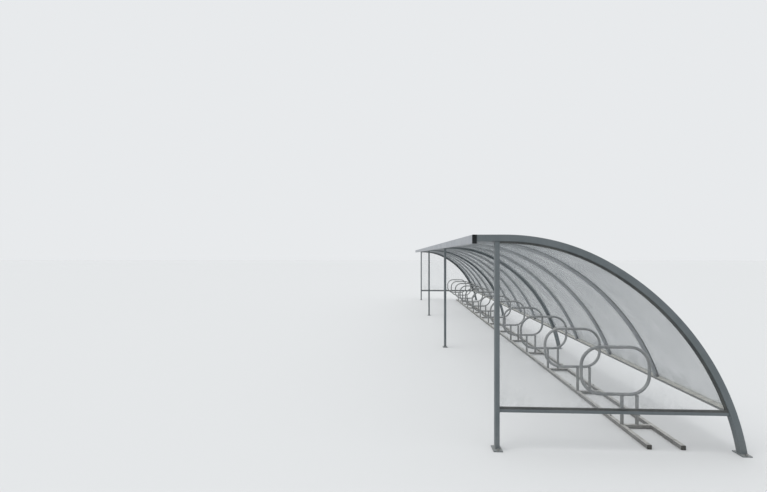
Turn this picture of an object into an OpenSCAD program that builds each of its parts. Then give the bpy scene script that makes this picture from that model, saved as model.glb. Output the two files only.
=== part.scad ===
// Curved bike shelter with an open front, clear roof sheets and a row of parking hoops.
// Millimetres. X runs from the open front to the back, Y along the row, Z up.
// The origin is on the ground, in the middle of the shelter's footprint.

/* [Overall] */
// Height of the roof's top above the ground
shelter_h = 1890; // [1700:10:2250]
// Distance between the middles of neighbouring ribs and bars
bay_w = 1225; // [900:5:1600]
// Bays between one main frame and the next
bays_per_frame = 4; // [2:1:6]
// Main frames along the row
frame_count = 4; // [2:1:6]

/* [Roof curve] */
// Level stretch of the roof, from the front tip to the start of the bend
level_len = 280; // [250:2:500]
// Radius of the front bend, on the outer face of the rib
front_bend_r = 1800; // [1500:10:2200]
// Angle that the front bend turns through
front_bend_turn = 29; // [20:1:35]
// Radius of the rear bend, on the outer face of the rib
rear_bend_r = 2350; // [1900:10:2600]

/* [Steel frame] */
// Outer width of the main ribs' square tube
rib_w = 60; // [50:1:80]
// Wall of the main ribs' tube
rib_wall = 3; // [2:0.5:5]
// Outer corner radius of every square and rectangular tube
tube_corner_r = 5; // [3:0.5:8]
// Width of a front post, seen from the end of the row
post_w = 40; // [30:1:60]
// Depth of a front post, along the row
post_d = 60; // [40:1:60]
// Wall of the front posts
post_wall = 3; // [2:0.5:5]
// Distance of the post's middle behind the roof's front tip
post_setback = 220; // [120:5:240]
// How far a base plate stands out in front of and behind a rib's foot
base_margin = 10; // [5:1:30]
// Length of a base plate, along the row
base_len = 140; // [120:5:200]
// Thickness of a base plate
base_t = 8; // [6:1:15]
// Radius of the anchor holes in the base plates
anchor_r = 6.5; // [5:0.5:8]
// Distance of an anchor hole's middle from the plate's edge
anchor_edge = 15; // [12:1:20]
// Thickness of an end cap's flange, outside its tube
cap_out = 5; // [3:1:12]
// How far an end cap's plug reaches into its tube
cap_plug = 28; // [10:1:40]

/* [Beams along the row] */
// Height of the front beam
beam_h = 80; // [65:1:120]
// Depth of the front beam, from front to back
beam_d = 40; // [30:1:60]
// Wall of the front beam
beam_wall = 3; // [2:0.5:4]
// Open joint between two lengths of the front beam
beam_joint = 2; // [1:0.5:5]
// Height of the rear rail's upper inner edge above the ground
rail_z = 370; // [300:5:500]
// Thickness of the rear rail, along the roof's curve
rail_t = 30; // [25:1:60]
// Wall of the rear rail
rail_wall = 3; // [2:0.5:4]

/* [Gables] */
// Height of the gable bar's top above the ground
gable_bar_z = 360; // [280:5:480]
// Height of the gable bar
gable_bar_h = 30; // [20:1:50]
// Depth of the gable bar, along the row
gable_bar_d = 40; // [30:1:50]
// Wall of the gable bar
gable_bar_wall = 2.5; // [2:0.5:4]
// How far the gable bar and the seal stand back from the end frame's outer side
gable_recess = 10; // [5:1:20]
// Thickness of the gable panels
gable_t = 6; // [4:0.5:8]
// Width of the rubber seal's face
seal_w = 18; // [14:1:30]
// Thickness of the rubber seal, along the row
seal_d = 18; // [12:1:24]
// How deep a gable panel sits in its seal
seal_bite = 8; // [5:1:9]

/* [Roof sheets and bars] */
// Thickness of the roof sheets
sheet_t = 5; // [3:0.5:8]
// Distance of the sheets' upper face below the outer face of the ribs
sheet_inset = 20; // [16:1:30]
// Gap at each edge of a sheet, for its expansion
sheet_gap = 2; // [1:0.5:4]
// Width of a glazing bar
bar_w = 50; // [40:1:60]
// Depth of a glazing bar
bar_d = 30; // [20:1:30]
// Wall of a glazing bar
bar_wall = 2.5; // [2:0.5:4]
// Thickness of a cover strip
strip_t = 4; // [3:0.5:6]
// Width of the cover strip's stem between two sheets
stem_w = 10; // [6:1:16]
// Leg of the ledge angle on the main ribs' sides
ledge_leg = 20; // [15:1:25]
// Thickness of the ledge angle
ledge_t = 3; // [2:0.5:4]

/* [Bike rack] */
// Width and height of the ground rails
ground_rail_w = 40; // [30:1:50]
// Wall of the ground rails
ground_rail_wall = 2.5; // [2:0.5:4]
// Distance of the front ground rail's middle behind the posts
ground_rail_x = 1340; // [1200:5:1350]
// Distance between the middles of the two ground rails
ground_rail_gap = 290; // [260:5:350]
// Distance of the ground rails' ends inside the end frames' outer sides
ground_rail_inset = 100; // [60:5:160]
// Height of a tie between the ground rails
tie_h = 30; // [20:1:30]
// Outer diameter of the hoop's tube
hoop_tube = 32; // [25:1:40]
// Wall of the hoop's tube
hoop_wall = 2.6; // [2:0.1:4]
// Length of a hoop, outer face to outer face
hoop_len = 690; // [600:10:800]
// Height of a hoop's top above the ground
hoop_top = 816; // [700:2:950]
// Height of the hoop itself, outer face to outer face
hoop_h = 498; // [440:2:600]
// Distance from the hoops' rear ends back to the middle of the rear ground rail
hoop_setback = 10; // [0:5:60]
// Bend radius of a hoop, on the middle of its tube
hoop_bend_r = 190; // [120:5:200]

/* [Hidden] */
$fn = 96;
// Straight steps in the gable outline's front bend; the rear bend has twice as many
arc_steps = 16;
bay_count = bays_per_frame * (frame_count - 1);
row_len = bay_count * bay_w;
rib_y = [for (i = [0 : bay_count]) i * bay_w - row_len / 2];
frame_y = [for (k = [0 : frame_count - 1]) rib_y[k * bays_per_frame]];
bar_y = [for (i = [0 : bay_count]) if (i % bays_per_frame != 0) rib_y[i]];

// The section's own frame: x from the tip, z from the ground, angles from straight up
front_centre = [level_len, shelter_h - front_bend_r];
front_out = [sin(front_bend_turn), cos(front_bend_turn)];
rear_centre = front_centre + (front_bend_r - rear_bend_r) * front_out;
// Angle at which the rear bend, `inset` inside the outer face, comes down to height z
function angle_at(z, inset) = acos((z - rear_centre[1]) / (rear_bend_r - inset));
function rear_point(a, inset) = rear_centre + (rear_bend_r - inset) * [sin(a), cos(a)];
function front_point(a, inset) = front_centre + (front_bend_r - inset) * [sin(a), cos(a)];

ground_turn = angle_at(0, 0);
rail_turn = angle_at(rail_z, rib_w);
// The sheets stop a gap short of the rear rail
sheet_turn = rail_turn - asin(sheet_gap / rear_bend_r);

foot_outer = rear_point(ground_turn, 0)[0];
foot_inner = rear_point(angle_at(0, rib_w), rib_w)[0];
foot_mid = (foot_outer + foot_inner) / 2;
post_x = post_setback;
base_w = rib_w + 2 * base_margin;
mid_x = (foot_mid + base_w / 2) / 2;
hoop_back = post_x + ground_rail_x + ground_rail_gap - hoop_setback;

// Half the row's length, out to the end frames' outer sides
row_end = (row_len + rib_w) / 2;
// Middle of a piece of depth d at the near gable (s = -1) or the far one (s = 1)
function gable_y(s, d) = s * (row_end - gable_recess - d / 2);

// A rectangle with round corners, its middle at the origin
module round_rect(w, h, r) {
    square([w - 2 * r, h], center = true);
    square([w, h - 2 * r], center = true);
    for (sx = [-1, 1], sy = [-1, 1])
        translate([sx * (w / 2 - r), sy * (h / 2 - r)]) circle(r, $fn = 32);
}

// The cut end of a rectangular tube
module tube_section(w, h, wall) {
    difference() {
        round_rect(w, h, tube_corner_r);
        square([w - 2 * wall, h - 2 * wall], center = true);
    }
}

// Moves by whole millimetres, thousandths and the rest, so that bends meet without a step
module place(v) {
    whole = [for (c = v) round(c)];
    fine = [for (c = v - whole) round(c * 1000) / 1000];
    translate(whole) translate(fine) translate(v - whole - fine) children();
}

// Sweeps a section round one bend, from one angle to another
module bend(centre, r, from, to) {
    place([centre[0], 0, centre[1]]) rotate([90, -90, 180])
        rotate_extrude(angle = to - from, start = from, $fn = 180) translate([r, 0]) children();
}

// Runs a section straight along X. Its x points up and its y across.
module run(len) {
    translate([len, 0, 0]) rotate([0, -90, 0]) linear_extrude(len) children();
}

// Sweeps a section along the roof's curve, from x = start to the angle `end` of the rear bend.
// The section's x is 0 on the ribs' outer face and negative inside it.
module along_roof(start, end) {
    translate([start, 0, shelter_h]) run(level_len - start) children();
    bend(front_centre, front_bend_r, 0, front_bend_turn) children();
    bend(rear_centre, rear_bend_r, front_bend_turn, end) children();
}

// Moves a piece from the section's frame into the shelter's
module at_row(y = 0) {
    translate([-mid_x, y, 0]) children();
}

// The gable's opening, `inset` inside the rib and the bar and `front` behind the post's side
module gable_outline(inset, front) {
    x0 = post_x + post_w / 2 + front;
    z0 = gable_bar_z + inset;
    deep = rib_w + inset;
    last = angle_at(z0, deep);
    polygon([
        [x0, z0], [x0, shelter_h - deep],
        for (i = [0 : arc_steps]) front_point(front_bend_turn * i / arc_steps, deep),
        for (i = [1 : 2 * arc_steps])
            rear_point(front_bend_turn + (last - front_bend_turn) * i / (2 * arc_steps), deep)
    ]);
}

// Stands a flat outline up, its middle on the plane at y
module upright_plate(y, t) {
    at_row(y) rotate([90, 0, 0]) linear_extrude(t, center = true) children();
}

module main_rib(y) {
    color("slategray") at_row(y) difference() {
        along_roof(beam_d, ground_turn) translate([-rib_w / 2, 0]) tube_section(rib_w, rib_w, rib_wall);
        translate([0, -rib_w, base_t - 2 * rib_w]) cube([2 * foot_outer, 2 * rib_w, 2 * rib_w]);
    }
}

module front_post(y) {
    color("slategray") at_row(y) translate([post_x, 0, base_t])
        linear_extrude(shelter_h - rib_w - base_t) tube_section(post_w, post_d, post_wall);
}

module base_plate(x, y) {
    at_row(y) translate([x, 0, 0]) difference() {
        translate([-base_w / 2, -base_len / 2, 0]) cube([base_w, base_len, base_t]);
        for (s = [-1, 1])
            translate([0, s * (base_len / 2 - anchor_edge), -1]) cylinder(h = base_t + 2, r = anchor_r);
    }
}

module post_bases() {
    color("gray") for (y = frame_y) base_plate(post_x, y);
}

module rib_bases() {
    color("gray") for (y = frame_y) base_plate(foot_mid, y);
}

// A plastic cap in the end of a tube that runs on along +Y: a flange outside and a plug inside
module end_cap(w, h, wall) {
    rotate([-90, 0, 0]) translate([0, 0, -cap_out]) {
        linear_extrude(cap_out) round_rect(w, h, tube_corner_r);
        linear_extrude(cap_out + cap_plug) square([w - 2 * wall, h - 2 * wall], center = true);
    }
}

// Caps at both ends of the front beam and of the ground rails
module end_caps() {
    color([0.08, 0.08, 0.09]) for (s = [0, 1]) mirror([0, s, 0]) {
        at_row(-row_end) translate([beam_d / 2, 0, shelter_h - beam_h / 2])
            end_cap(beam_d, beam_h, beam_wall);
        for (x = [0, ground_rail_gap])
            at_row(ground_rail_inset - row_end) translate([post_x + ground_rail_x + x, 0, ground_rail_w / 2])
                end_cap(ground_rail_w, ground_rail_w, ground_rail_wall);
    }
}

// The beam runs on past the ribs' front ends, with a joint at each middle frame
module front_beams() {
    last = frame_count - 2;
    color("silver") for (k = [0 : last]) {
        y0 = frame_y[k] + (k == 0 ? -rib_w : beam_joint) / 2;
        y1 = frame_y[k + 1] + (k == last ? rib_w : -beam_joint) / 2;
        at_row(y1) translate([beam_d / 2, 0, shelter_h - beam_h / 2])
            rotate([90, 0, 0]) linear_extrude(y1 - y0) tube_section(beam_d, beam_h, beam_wall);
    }
}

module rear_rails() {
    span = bays_per_frame * bay_w - rib_w;
    color("darkgray") for (k = [0 : frame_count - 2])
        at_row(frame_y[k] + rib_w / 2) place([rear_centre[0], span, rear_centre[1]])
            rotate([0, rail_turn, 0]) translate([rail_t / 2, 0, rear_bend_r - rib_w / 2])
                rotate([90, 0, 0]) linear_extrude(span) tube_section(rail_t, rib_w, rail_wall);
}

// Runs from the post's side to the inner face of the rib, cut to the rib's curve
module gable_bars() {
    x0 = post_x + post_w / 2;
    color("slategray") for (s = [-1, 1]) at_row(gable_y(s, gable_bar_d)) intersection() {
        translate([x0, 0, gable_bar_z - gable_bar_h / 2]) run(foot_outer - x0)
            tube_section(gable_bar_h, gable_bar_d, gable_bar_wall);
        place([rear_centre[0], 0, rear_centre[1]]) rotate([90, 0, 0])
            cylinder(h = 2 * gable_bar_d, r = rear_bend_r - rib_w, center = true, $fn = 360);
    }
}

module glazing_bar(y) {
    color("lightslategray") at_row(y) along_roof(beam_d, rail_turn)
        translate([-sheet_inset - sheet_t - bar_d / 2, 0]) tube_section(bar_d, bar_w, bar_wall);
}

// Angles on the main ribs' sides, under the edges of the sheets
module rib_ledge(y, side) {
    at_row(y) mirror([0, side < 0 ? 1 : 0, 0]) along_roof(beam_d, rail_turn)
        translate([-sheet_inset - sheet_t, rib_w / 2]) {
            translate([-ledge_t, 0]) square([ledge_t, ledge_leg]);
            translate([-ledge_leg, 0]) square([ledge_leg, ledge_t]);
        }
}

module rib_ledges() {
    color("slategray") for (k = [0 : frame_count - 2]) {
        rib_ledge(frame_y[k], 1);
        rib_ledge(frame_y[k + 1], -1);
    }
}

// A flat strip over the sheets' edges, with a stem down to the bar
module cover_strips() {
    color("lightslategray") for (y = bar_y) at_row(y) along_roof(beam_d, rail_turn)
        translate([-sheet_inset, 0]) {
            translate([0, -bar_w / 2]) square([strip_t, bar_w]);
            translate([-sheet_t, -stem_w / 2]) square([sheet_t + strip_t, stem_w]);
        }
}

// Half of what stands between two sheets at rib i
function edge_at(i) = (i % bays_per_frame == 0 ? rib_w : stem_w) / 2 + sheet_gap;

module roof_sheet(i) {
    y0 = rib_y[i] + edge_at(i);
    y1 = rib_y[i + 1] - edge_at(i + 1);
    color([0.75, 0.8, 0.82, 0.5]) at_row((y0 + y1) / 2) along_roof(beam_d + sheet_gap, sheet_turn)
        translate([-sheet_inset - sheet_t / 2, 0]) square([sheet_t, y1 - y0], center = true);
}

// A clear panel from the post's side to the seal's groove
module gable_panel(s) {
    color([0.75, 0.8, 0.82, 0.5]) upright_plate(gable_y(s, seal_d), gable_t)
        gable_outline(seal_w - seal_bite, 0);
}

// Rubber seals under the ribs and on the gable bars, grooved for the panels' edges
module gable_seals() {
    color([0.1, 0.1, 0.1]) for (s = [-1, 1]) difference() {
        upright_plate(gable_y(s, seal_d), seal_d) difference() {
            gable_outline(0, 0);
            gable_outline(seal_w, -seal_w);
        }
        upright_plate(gable_y(s, seal_d), gable_t) gable_outline(seal_w - seal_bite, -seal_w);
    }
}

module ground_rail(x) {
    len = 2 * (row_end - ground_rail_inset);
    color("silver") at_row(len / 2) translate([post_x + x, 0, ground_rail_w / 2]) rotate([90, 0, 0])
        linear_extrude(len) tube_section(ground_rail_w, ground_rail_w, ground_rail_wall);
}

// Flat-lying tubes between the two rails, one under each hoop
module rack_ties() {
    len = ground_rail_gap - ground_rail_w;
    color("silver") for (i = [0 : bay_count - 1])
        at_row((rib_y[i] + rib_y[i + 1]) / 2)
            translate([post_x + ground_rail_x + ground_rail_w / 2, 0, ground_rail_w - tie_h / 2])
                run(len) tube_section(tie_h, ground_rail_w, ground_rail_wall);
}

// The cut end of the hoop's tube
module hoop_ring() {
    difference() {
        circle(d = hoop_tube, $fn = 48);
        circle(d = hoop_tube - 2 * hoop_wall, $fn = 48);
    }
}

// A closed loop of tube, upright, with its middle at the origin
module hoop_loop() {
    a = hoop_len / 2 - hoop_tube / 2 - hoop_bend_r;
    b = hoop_h / 2 - hoop_tube / 2 - hoop_bend_r;
    for (sx = [0, 1], sz = [0, 1])
        mirror([sx, 0, 0]) mirror([0, 0, sz]) translate([a, 0, b]) rotate([90, 0, 0])
            rotate_extrude(angle = 90, $fn = 96) translate([hoop_bend_r, 0]) hoop_ring();
    for (s = [-1, 1]) {
        translate([-a, 0, s * (b + hoop_bend_r)]) run(2 * a) hoop_ring();
        translate([s * (a + hoop_bend_r), 0, -b]) linear_extrude(2 * b) hoop_ring();
    }
}

module parking_hoops() {
    color("silver") for (i = [0 : bay_count - 1])
        at_row((rib_y[i] + rib_y[i + 1]) / 2)
            translate([hoop_back - hoop_len / 2, 0, hoop_top - hoop_h / 2]) hoop_loop();
}

// Two legs carry each hoop, one on the front rail and one on the tie, cut to the hoop's tube
module hoop_legs() {
    run_z = hoop_top - hoop_h + hoop_tube / 2;
    color("silver") for (i = [0 : bay_count - 1], x = [0, ground_rail_gap / 2])
        at_row((rib_y[i] + rib_y[i + 1]) / 2) translate([post_x + ground_rail_x + x, 0, 0])
            difference() {
                translate([0, 0, ground_rail_w]) linear_extrude(run_z - ground_rail_w) hoop_ring();
                translate([-hoop_tube, 0, run_z]) rotate([0, 90, 0])
                    cylinder(h = 2 * hoop_tube, d = hoop_tube, $fn = 48);
            }
}

main_rib(frame_y[0]);  // main_rib_1
main_rib(frame_y[1]);  // main_rib_2
main_rib(frame_y[2]);  // main_rib_3
main_rib(frame_y[3]);  // main_rib_4
front_post(frame_y[0]);  // front_post_1
front_post(frame_y[1]);  // front_post_2
front_post(frame_y[2]);  // front_post_3
front_post(frame_y[3]);  // front_post_4
post_bases();
rib_bases();
end_caps();
front_beams();
rear_rails();
gable_bars();
glazing_bar(bar_y[0]);  // glazing_bar_1
glazing_bar(bar_y[1]);  // glazing_bar_2
glazing_bar(bar_y[2]);  // glazing_bar_3
glazing_bar(bar_y[3]);  // glazing_bar_4
glazing_bar(bar_y[4]);  // glazing_bar_5
glazing_bar(bar_y[5]);  // glazing_bar_6
glazing_bar(bar_y[6]);  // glazing_bar_7
glazing_bar(bar_y[7]);  // glazing_bar_8
glazing_bar(bar_y[8]);  // glazing_bar_9
rib_ledges();
cover_strips();
roof_sheet(0);  // roof_sheet_1
roof_sheet(1);  // roof_sheet_2
roof_sheet(2);  // roof_sheet_3
roof_sheet(3);  // roof_sheet_4
roof_sheet(4);  // roof_sheet_5
roof_sheet(5);  // roof_sheet_6
roof_sheet(6);  // roof_sheet_7
roof_sheet(7);  // roof_sheet_8
roof_sheet(8);  // roof_sheet_9
roof_sheet(9);  // roof_sheet_10
roof_sheet(10);  // roof_sheet_11
roof_sheet(11);  // roof_sheet_12
gable_panel(-1);  // near_gable_panel
gable_panel(1);  // far_gable_panel
gable_seals();
ground_rail(ground_rail_x);  // rack_front_rail
ground_rail(ground_rail_x + ground_rail_gap);  // rack_rear_rail
rack_ties();
hoop_legs();
parking_hoops();
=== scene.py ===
"""Looks for a long curved bike shelter: painted frame, clear sheets, rubber seals and a zinc rack.

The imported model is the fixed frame. Everything here is in metres in that frame: X from the open
front to the back, Y along the row away from the near gable, Z up, with the ground at 0.
"""
from __future__ import annotations

import logging
import math
from dataclasses import dataclass
from enum import Enum
from typing import Callable, Optional, Sequence

import bpy
from mathutils import Matrix, Vector


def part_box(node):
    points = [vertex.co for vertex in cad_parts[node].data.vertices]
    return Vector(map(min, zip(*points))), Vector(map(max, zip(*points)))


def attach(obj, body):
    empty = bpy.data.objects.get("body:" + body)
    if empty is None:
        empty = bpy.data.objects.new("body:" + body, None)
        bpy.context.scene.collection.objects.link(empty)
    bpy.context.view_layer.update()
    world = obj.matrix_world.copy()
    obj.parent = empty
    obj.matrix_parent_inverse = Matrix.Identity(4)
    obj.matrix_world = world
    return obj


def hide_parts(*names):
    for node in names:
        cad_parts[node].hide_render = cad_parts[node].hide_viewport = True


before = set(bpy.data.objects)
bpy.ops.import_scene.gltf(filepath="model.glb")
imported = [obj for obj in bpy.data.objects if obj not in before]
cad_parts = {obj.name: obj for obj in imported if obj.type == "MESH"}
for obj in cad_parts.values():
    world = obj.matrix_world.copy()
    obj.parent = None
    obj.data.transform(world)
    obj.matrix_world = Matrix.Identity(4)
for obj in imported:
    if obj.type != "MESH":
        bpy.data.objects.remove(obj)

LOG = logging.getLogger("bike_shelter")
Triple = tuple[float, float, float]
Piece = bpy.types.Object
Face = bpy.types.MeshPolygon
Socket = bpy.types.NodeSocket
Step = Callable[[], object]
Inputs = dict[str | int, object]
BODY = "root"
QUARTER = math.pi / 2
FACING = 0.9  # a face whose normal has more than this along a direction looks that way
SOFT_EDGE = 30.0  # edges of up to this many degrees are shaded smooth


# ---------------------------------------------------------------- the bench: modelling by hand

class Pick(Enum):
    """What is picked in edit mode."""

    FACE = "FACE"
    EDGE = "EDGE"


class Steps:
    """Edit-mode steps, each handed back as a call to make on what is picked by then."""

    @staticmethod
    def extrude(move: Sequence[float]) -> Step:
        """Pulls out what is picked along a vector."""
        return lambda: bpy.ops.mesh.extrude_region_move(TRANSFORM_OT_translate={"value": move})

    @staticmethod
    def spin(steps: int, angle: float, centre: Sequence[float]) -> Step:
        """Carries what is picked round a bend in the XZ plane, drawing the bend."""
        return lambda: bpy.ops.mesh.spin(
            steps=steps, angle=angle, center=centre, axis=(0.0, 1.0, 0.0))

    @staticmethod
    def resize(value: Sequence[float], centre: Optional[Sequence[float]] = None) -> Step:
        """Scales what is picked about a point, or about its own middle."""
        about = {} if centre is None else {"center_override": centre}
        return lambda: bpy.ops.transform.resize(value=value, **about)

    @staticmethod
    def inset(thickness: float) -> Step:
        """Draws a smaller face inside what is picked."""
        return lambda: bpy.ops.mesh.inset(thickness=thickness)


class Bench:
    """Modelling steps with Blender's own tools, each on the one object in hand."""

    @staticmethod
    def clear() -> None:
        """Deselects everything, because the loaded frame comes in selected."""
        bpy.ops.object.select_all(action="DESELECT")

    @staticmethod
    def take(obj: Piece) -> None:
        """Selects one object, and nothing else, and makes it active.

        Args:
            obj: the object to take in hand.
        """
        Bench.clear()
        obj.select_set(True)
        bpy.context.view_layer.objects.active = obj

    @staticmethod
    def started() -> Piece:
        """Puts the place, turn and size of the primitive just added into its mesh."""
        bpy.ops.object.transform_apply(location=True, rotation=True, scale=True)
        return bpy.context.object

    @staticmethod
    def block(centre: Vector, size: Vector) -> Piece:
        """Starts from a box.

        Args:
            centre: the box's middle.
            size: its three sides.

        Returns:
            The new object.
        """
        Bench.clear()
        bpy.ops.mesh.primitive_cube_add(size=1, location=centre)
        bpy.context.object.scale = size
        return Bench.started()

    @staticmethod
    def round_bar(radius: float, bottom: float, height: float, sides: int) -> Piece:
        """Starts from an upright round or many-sided bar on the Z axis.

        Args:
            radius: its radius, to the corners.
            bottom: height of its lower end.
            height: its own height.
            sides: how many sides it has.

        Returns:
            The new object.
        """
        Bench.clear()
        bpy.ops.mesh.primitive_cylinder_add(
            vertices=sides, radius=radius, depth=height, location=(0, 0, bottom + height / 2))
        return Bench.started()

    @staticmethod
    def pick_faces(obj: Piece, wanted: Callable[[Face], bool]) -> None:
        """Selects the faces that a test picks, and nothing else.

        Args:
            obj: the object in hand, in object mode.
            wanted: the test, given a face.
        """
        mesh = obj.data
        for part in (mesh.vertices, mesh.edges):
            part.foreach_set("select", [False] * len(part))
        mesh.polygons.foreach_set("select", [wanted(face) for face in mesh.polygons])
        for face in mesh.polygons:
            if face.select:
                for index in face.vertices:
                    mesh.vertices[index].select = True

    @staticmethod
    def edit(obj: Piece, *steps: Step, pick: Pick = Pick.FACE) -> None:
        """Runs edit-mode steps on what is already picked.

        Args:
            obj: the object in hand.
            steps: calls to make in edit mode, in order.
            pick: whether faces or edges are picked.
        """
        Bench.take(obj)
        bpy.ops.object.mode_set(mode="EDIT")
        bpy.ops.mesh.select_mode(type=pick.value)
        for step in steps:
            step()
        bpy.ops.object.mode_set(mode="OBJECT")

    @staticmethod
    def modify(obj: Piece, kind: str, **settings: object) -> None:
        """Adds a modifier and applies it.

        Args:
            obj: the piece.
            kind: the modifier's type name.
            settings: properties to set on it.
        """
        Bench.take(obj)
        made = obj.modifiers.new(kind.lower(), kind)
        for key, value in settings.items():
            setattr(made, key, value)
        bpy.ops.object.modifier_apply(modifier=made.name)

    @staticmethod
    def chamfer(obj: Piece, width: float, segments: int = 1, angle: float = 35.0) -> None:
        """Rounds the edges that are sharper than `angle` degrees."""
        Bench.modify(obj, "BEVEL", width=width, segments=segments, limit_method="ANGLE",
                     angle_limit=math.radians(angle))

    @staticmethod
    def cut(obj: Piece, point: Vector, away: Vector) -> None:
        """Cuts a piece off at a plane, on the side that `away` looks to, and closes the cut."""
        Bench.pick_faces(obj, lambda face: True)
        Bench.edit(obj, lambda: bpy.ops.mesh.bisect(
            plane_co=point, plane_no=away, use_fill=True, clear_outer=True))

    @staticmethod
    def heal(obj: Piece) -> None:
        """Merges doubles and points every face outwards."""
        Bench.edit(obj, lambda: bpy.ops.mesh.select_all(action="SELECT"),
                   lambda: bpy.ops.mesh.remove_doubles(threshold=1e-6),
                   lambda: bpy.ops.mesh.normals_make_consistent(inside=False))

    @staticmethod
    def join(parts: Sequence[Piece]) -> Piece:
        """Joins several objects into the first of them.

        Args:
            parts: what to join.

        Returns:
            The joined object.
        """
        Bench.take(parts[0])
        for part in parts[1:]:
            part.select_set(True)
        bpy.ops.object.join()
        return parts[0]

    @staticmethod
    def copies(model: Piece, places: Sequence[Matrix]) -> list[Piece]:
        """Copies a finished shape to each place, each copy with its own mesh.

        Args:
            model: the shape, made round the origin. It is removed afterwards.
            places: where the copies go.

        Returns:
            The copies.
        """
        made = []
        for place in places:
            mesh = model.data.copy()
            mesh.transform(place)
            made.append(bpy.data.objects.new(model.name, mesh))
            bpy.context.scene.collection.objects.link(made[-1])
        bpy.data.objects.remove(model)
        return made

    @staticmethod
    def smooth(obj: Piece, angle: float = SOFT_EDGE) -> None:
        """Shades the piece smooth, apart from edges sharper than `angle` degrees."""
        Bench.take(obj)
        bpy.ops.object.shade_smooth_by_angle(angle=math.radians(angle))

    @staticmethod
    def even(obj: Piece) -> None:
        """Shades round corners smooth and leaves the flats between them flat."""
        Bench.smooth(obj)
        Bench.modify(obj, "WEIGHTED_NORMAL", keep_sharp=True)


def looks_up(face: Face) -> bool:
    """Whether a face looks up."""
    return face.normal.z > FACING


def spot(x: float, y: float, z: float, turn: Optional[Matrix] = None) -> Matrix:
    """The 4x4 matrix of a place, with an optional turn that is done first."""
    return Matrix.Translation((x, y, z)) @ (turn or Matrix.Identity(4))


def middle(node: str) -> Vector:
    """Middle of a frame node's box."""
    low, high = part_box(node)
    return (low + high) / 2


# ---------------------------------------------------------------- the roof's curve

@dataclass(frozen=True)
class RoofCurve:
    """The roof's section: a level run from the tip, a front bend and a rear bend to the ground."""

    tip_x: float
    top_z: float = 1.890
    level_len: float = 0.280
    front_r: float = 1.800
    front_turn: float = math.radians(29.0)
    rear_r: float = 2.350
    front_steps: int = 20
    rear_steps: int = 34
    corner_steps: int = 4

    @property
    def front_centre(self) -> Vector:
        """Middle of the front bend, in the plane y = 0."""
        return Vector((self.tip_x + self.level_len, 0.0, self.top_z - self.front_r))

    @property
    def rear_centre(self) -> Vector:
        """Middle of the rear bend, in the plane y = 0."""
        out = Vector((math.sin(self.front_turn), 0.0, math.cos(self.front_turn)))
        return self.front_centre + (self.front_r - self.rear_r) * out

    @property
    def bends_start(self) -> float:
        """Length along the outer face at which the rear bend begins."""
        return self.level_len + self.front_r * self.front_turn

    def rear_angle(self, height: float, inset: float) -> float:
        """Angle off straight up of the rear bend, at a height and inside the outer face."""
        return math.acos((height - self.rear_centre.z) / (self.rear_r - inset))

    def length_at(self, rear_angle: float) -> float:
        """Length along the outer face at an angle of the rear bend."""
        return self.bends_start + (rear_angle - self.front_turn) * self.rear_r

    def place(self, length: float, inset: float, y: float) -> Matrix:
        """A frame on the roof, its Z out of the roof and its X down the slope.

        Args:
            length: distance from the tip along the outer face.
            inset: distance inside the outer face.
            y: place along the row.

        Returns:
            The 4x4 matrix of that frame.
        """
        if length <= self.level_len:
            return spot(self.tip_x + length, y, self.top_z - inset)
        if length <= self.bends_start:
            centre, radius = self.front_centre, self.front_r
            angle = (length - self.level_len) / self.front_r
        else:
            centre, radius = self.rear_centre, self.rear_r
            angle = self.front_turn + (length - self.bends_start) / self.rear_r
        out = Vector((math.sin(angle), 0.0, math.cos(angle)))
        at = centre + (radius - inset) * out + Vector((0.0, y, 0.0))
        return Matrix.Translation(at) @ Matrix.Rotation(angle, 4, "Y")

    def sweep(self, start: float, end_angle: float, inset: float, thickness: float,
              y: float, width: float) -> Piece:
        """Draws a flat bar or sheet along the roof, by extruding and then spinning its end.

        Args:
            start: distance of its front edge from the tip.
            end_angle: angle of the rear bend at its lower end.
            inset: distance of its upper face inside the ribs' outer face.
            thickness: its thickness.
            y: place of its middle along the row.
            width: its width along the row.

        Returns:
            The closed piece.
        """
        centre = Vector((self.tip_x + start, y, self.top_z - inset - thickness / 2))
        front, rear = self.front_centre, self.rear_centre
        Bench.clear()
        bpy.ops.mesh.primitive_plane_add(size=1, location=centre, rotation=(0.0, QUARTER, 0.0))
        piece = Bench.started()
        Bench.pick_faces(piece, lambda face: True)
        Bench.edit(
            piece,
            Steps.resize((1.0, width, thickness), centre),
            Steps.extrude((self.level_len - start, 0.0, 0.0)),
            Steps.spin(self.front_steps, -self.front_turn, (front.x, 0.0, front.z)),
            Steps.spin(self.rear_steps, self.front_turn - end_angle, (rear.x, 0.0, rear.z)))
        Bench.heal(piece)
        return piece

    def bent_tube(self, start: float, end_angle: float, inset: float, depth: float, y: float,
                  width: float, corner_r: float, floor: Optional[float] = None) -> Piece:
        """Draws a tube with round corners along the roof, cut square at its front end.

        Args:
            start: distance of its front end from the tip.
            end_angle: angle of the rear bend at its lower end.
            inset: distance of its upper face inside the ribs' outer face.
            depth: its size through the roof.
            y: place of its middle along the row.
            width: its size along the row.
            corner_r: radius of its corners.
            floor: height of a level cut at its lower end, or None for a square one.

        Returns:
            The closed piece.
        """
        spare = 3 * corner_r  # cut off again, so that the rounding doesn't reach the ends
        tube = self.sweep(
            start - spare, end_angle + spare / self.rear_r, inset, depth, y, width)
        Bench.chamfer(tube, corner_r, self.corner_steps)
        Bench.cut(tube, Vector((self.tip_x + start, 0.0, 0.0)), Vector((-1.0, 0.0, 0.0)))
        if floor is None:
            onward = Vector((math.cos(end_angle), 0.0, -math.sin(end_angle)))
            Bench.cut(tube, self.rear_centre, onward)
        else:
            Bench.cut(tube, Vector((0.0, 0.0, floor)), Vector((0.0, 0.0, -1.0)))
        Bench.even(tube)
        return tube


# ---------------------------------------------------------------- shader wiring

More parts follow.
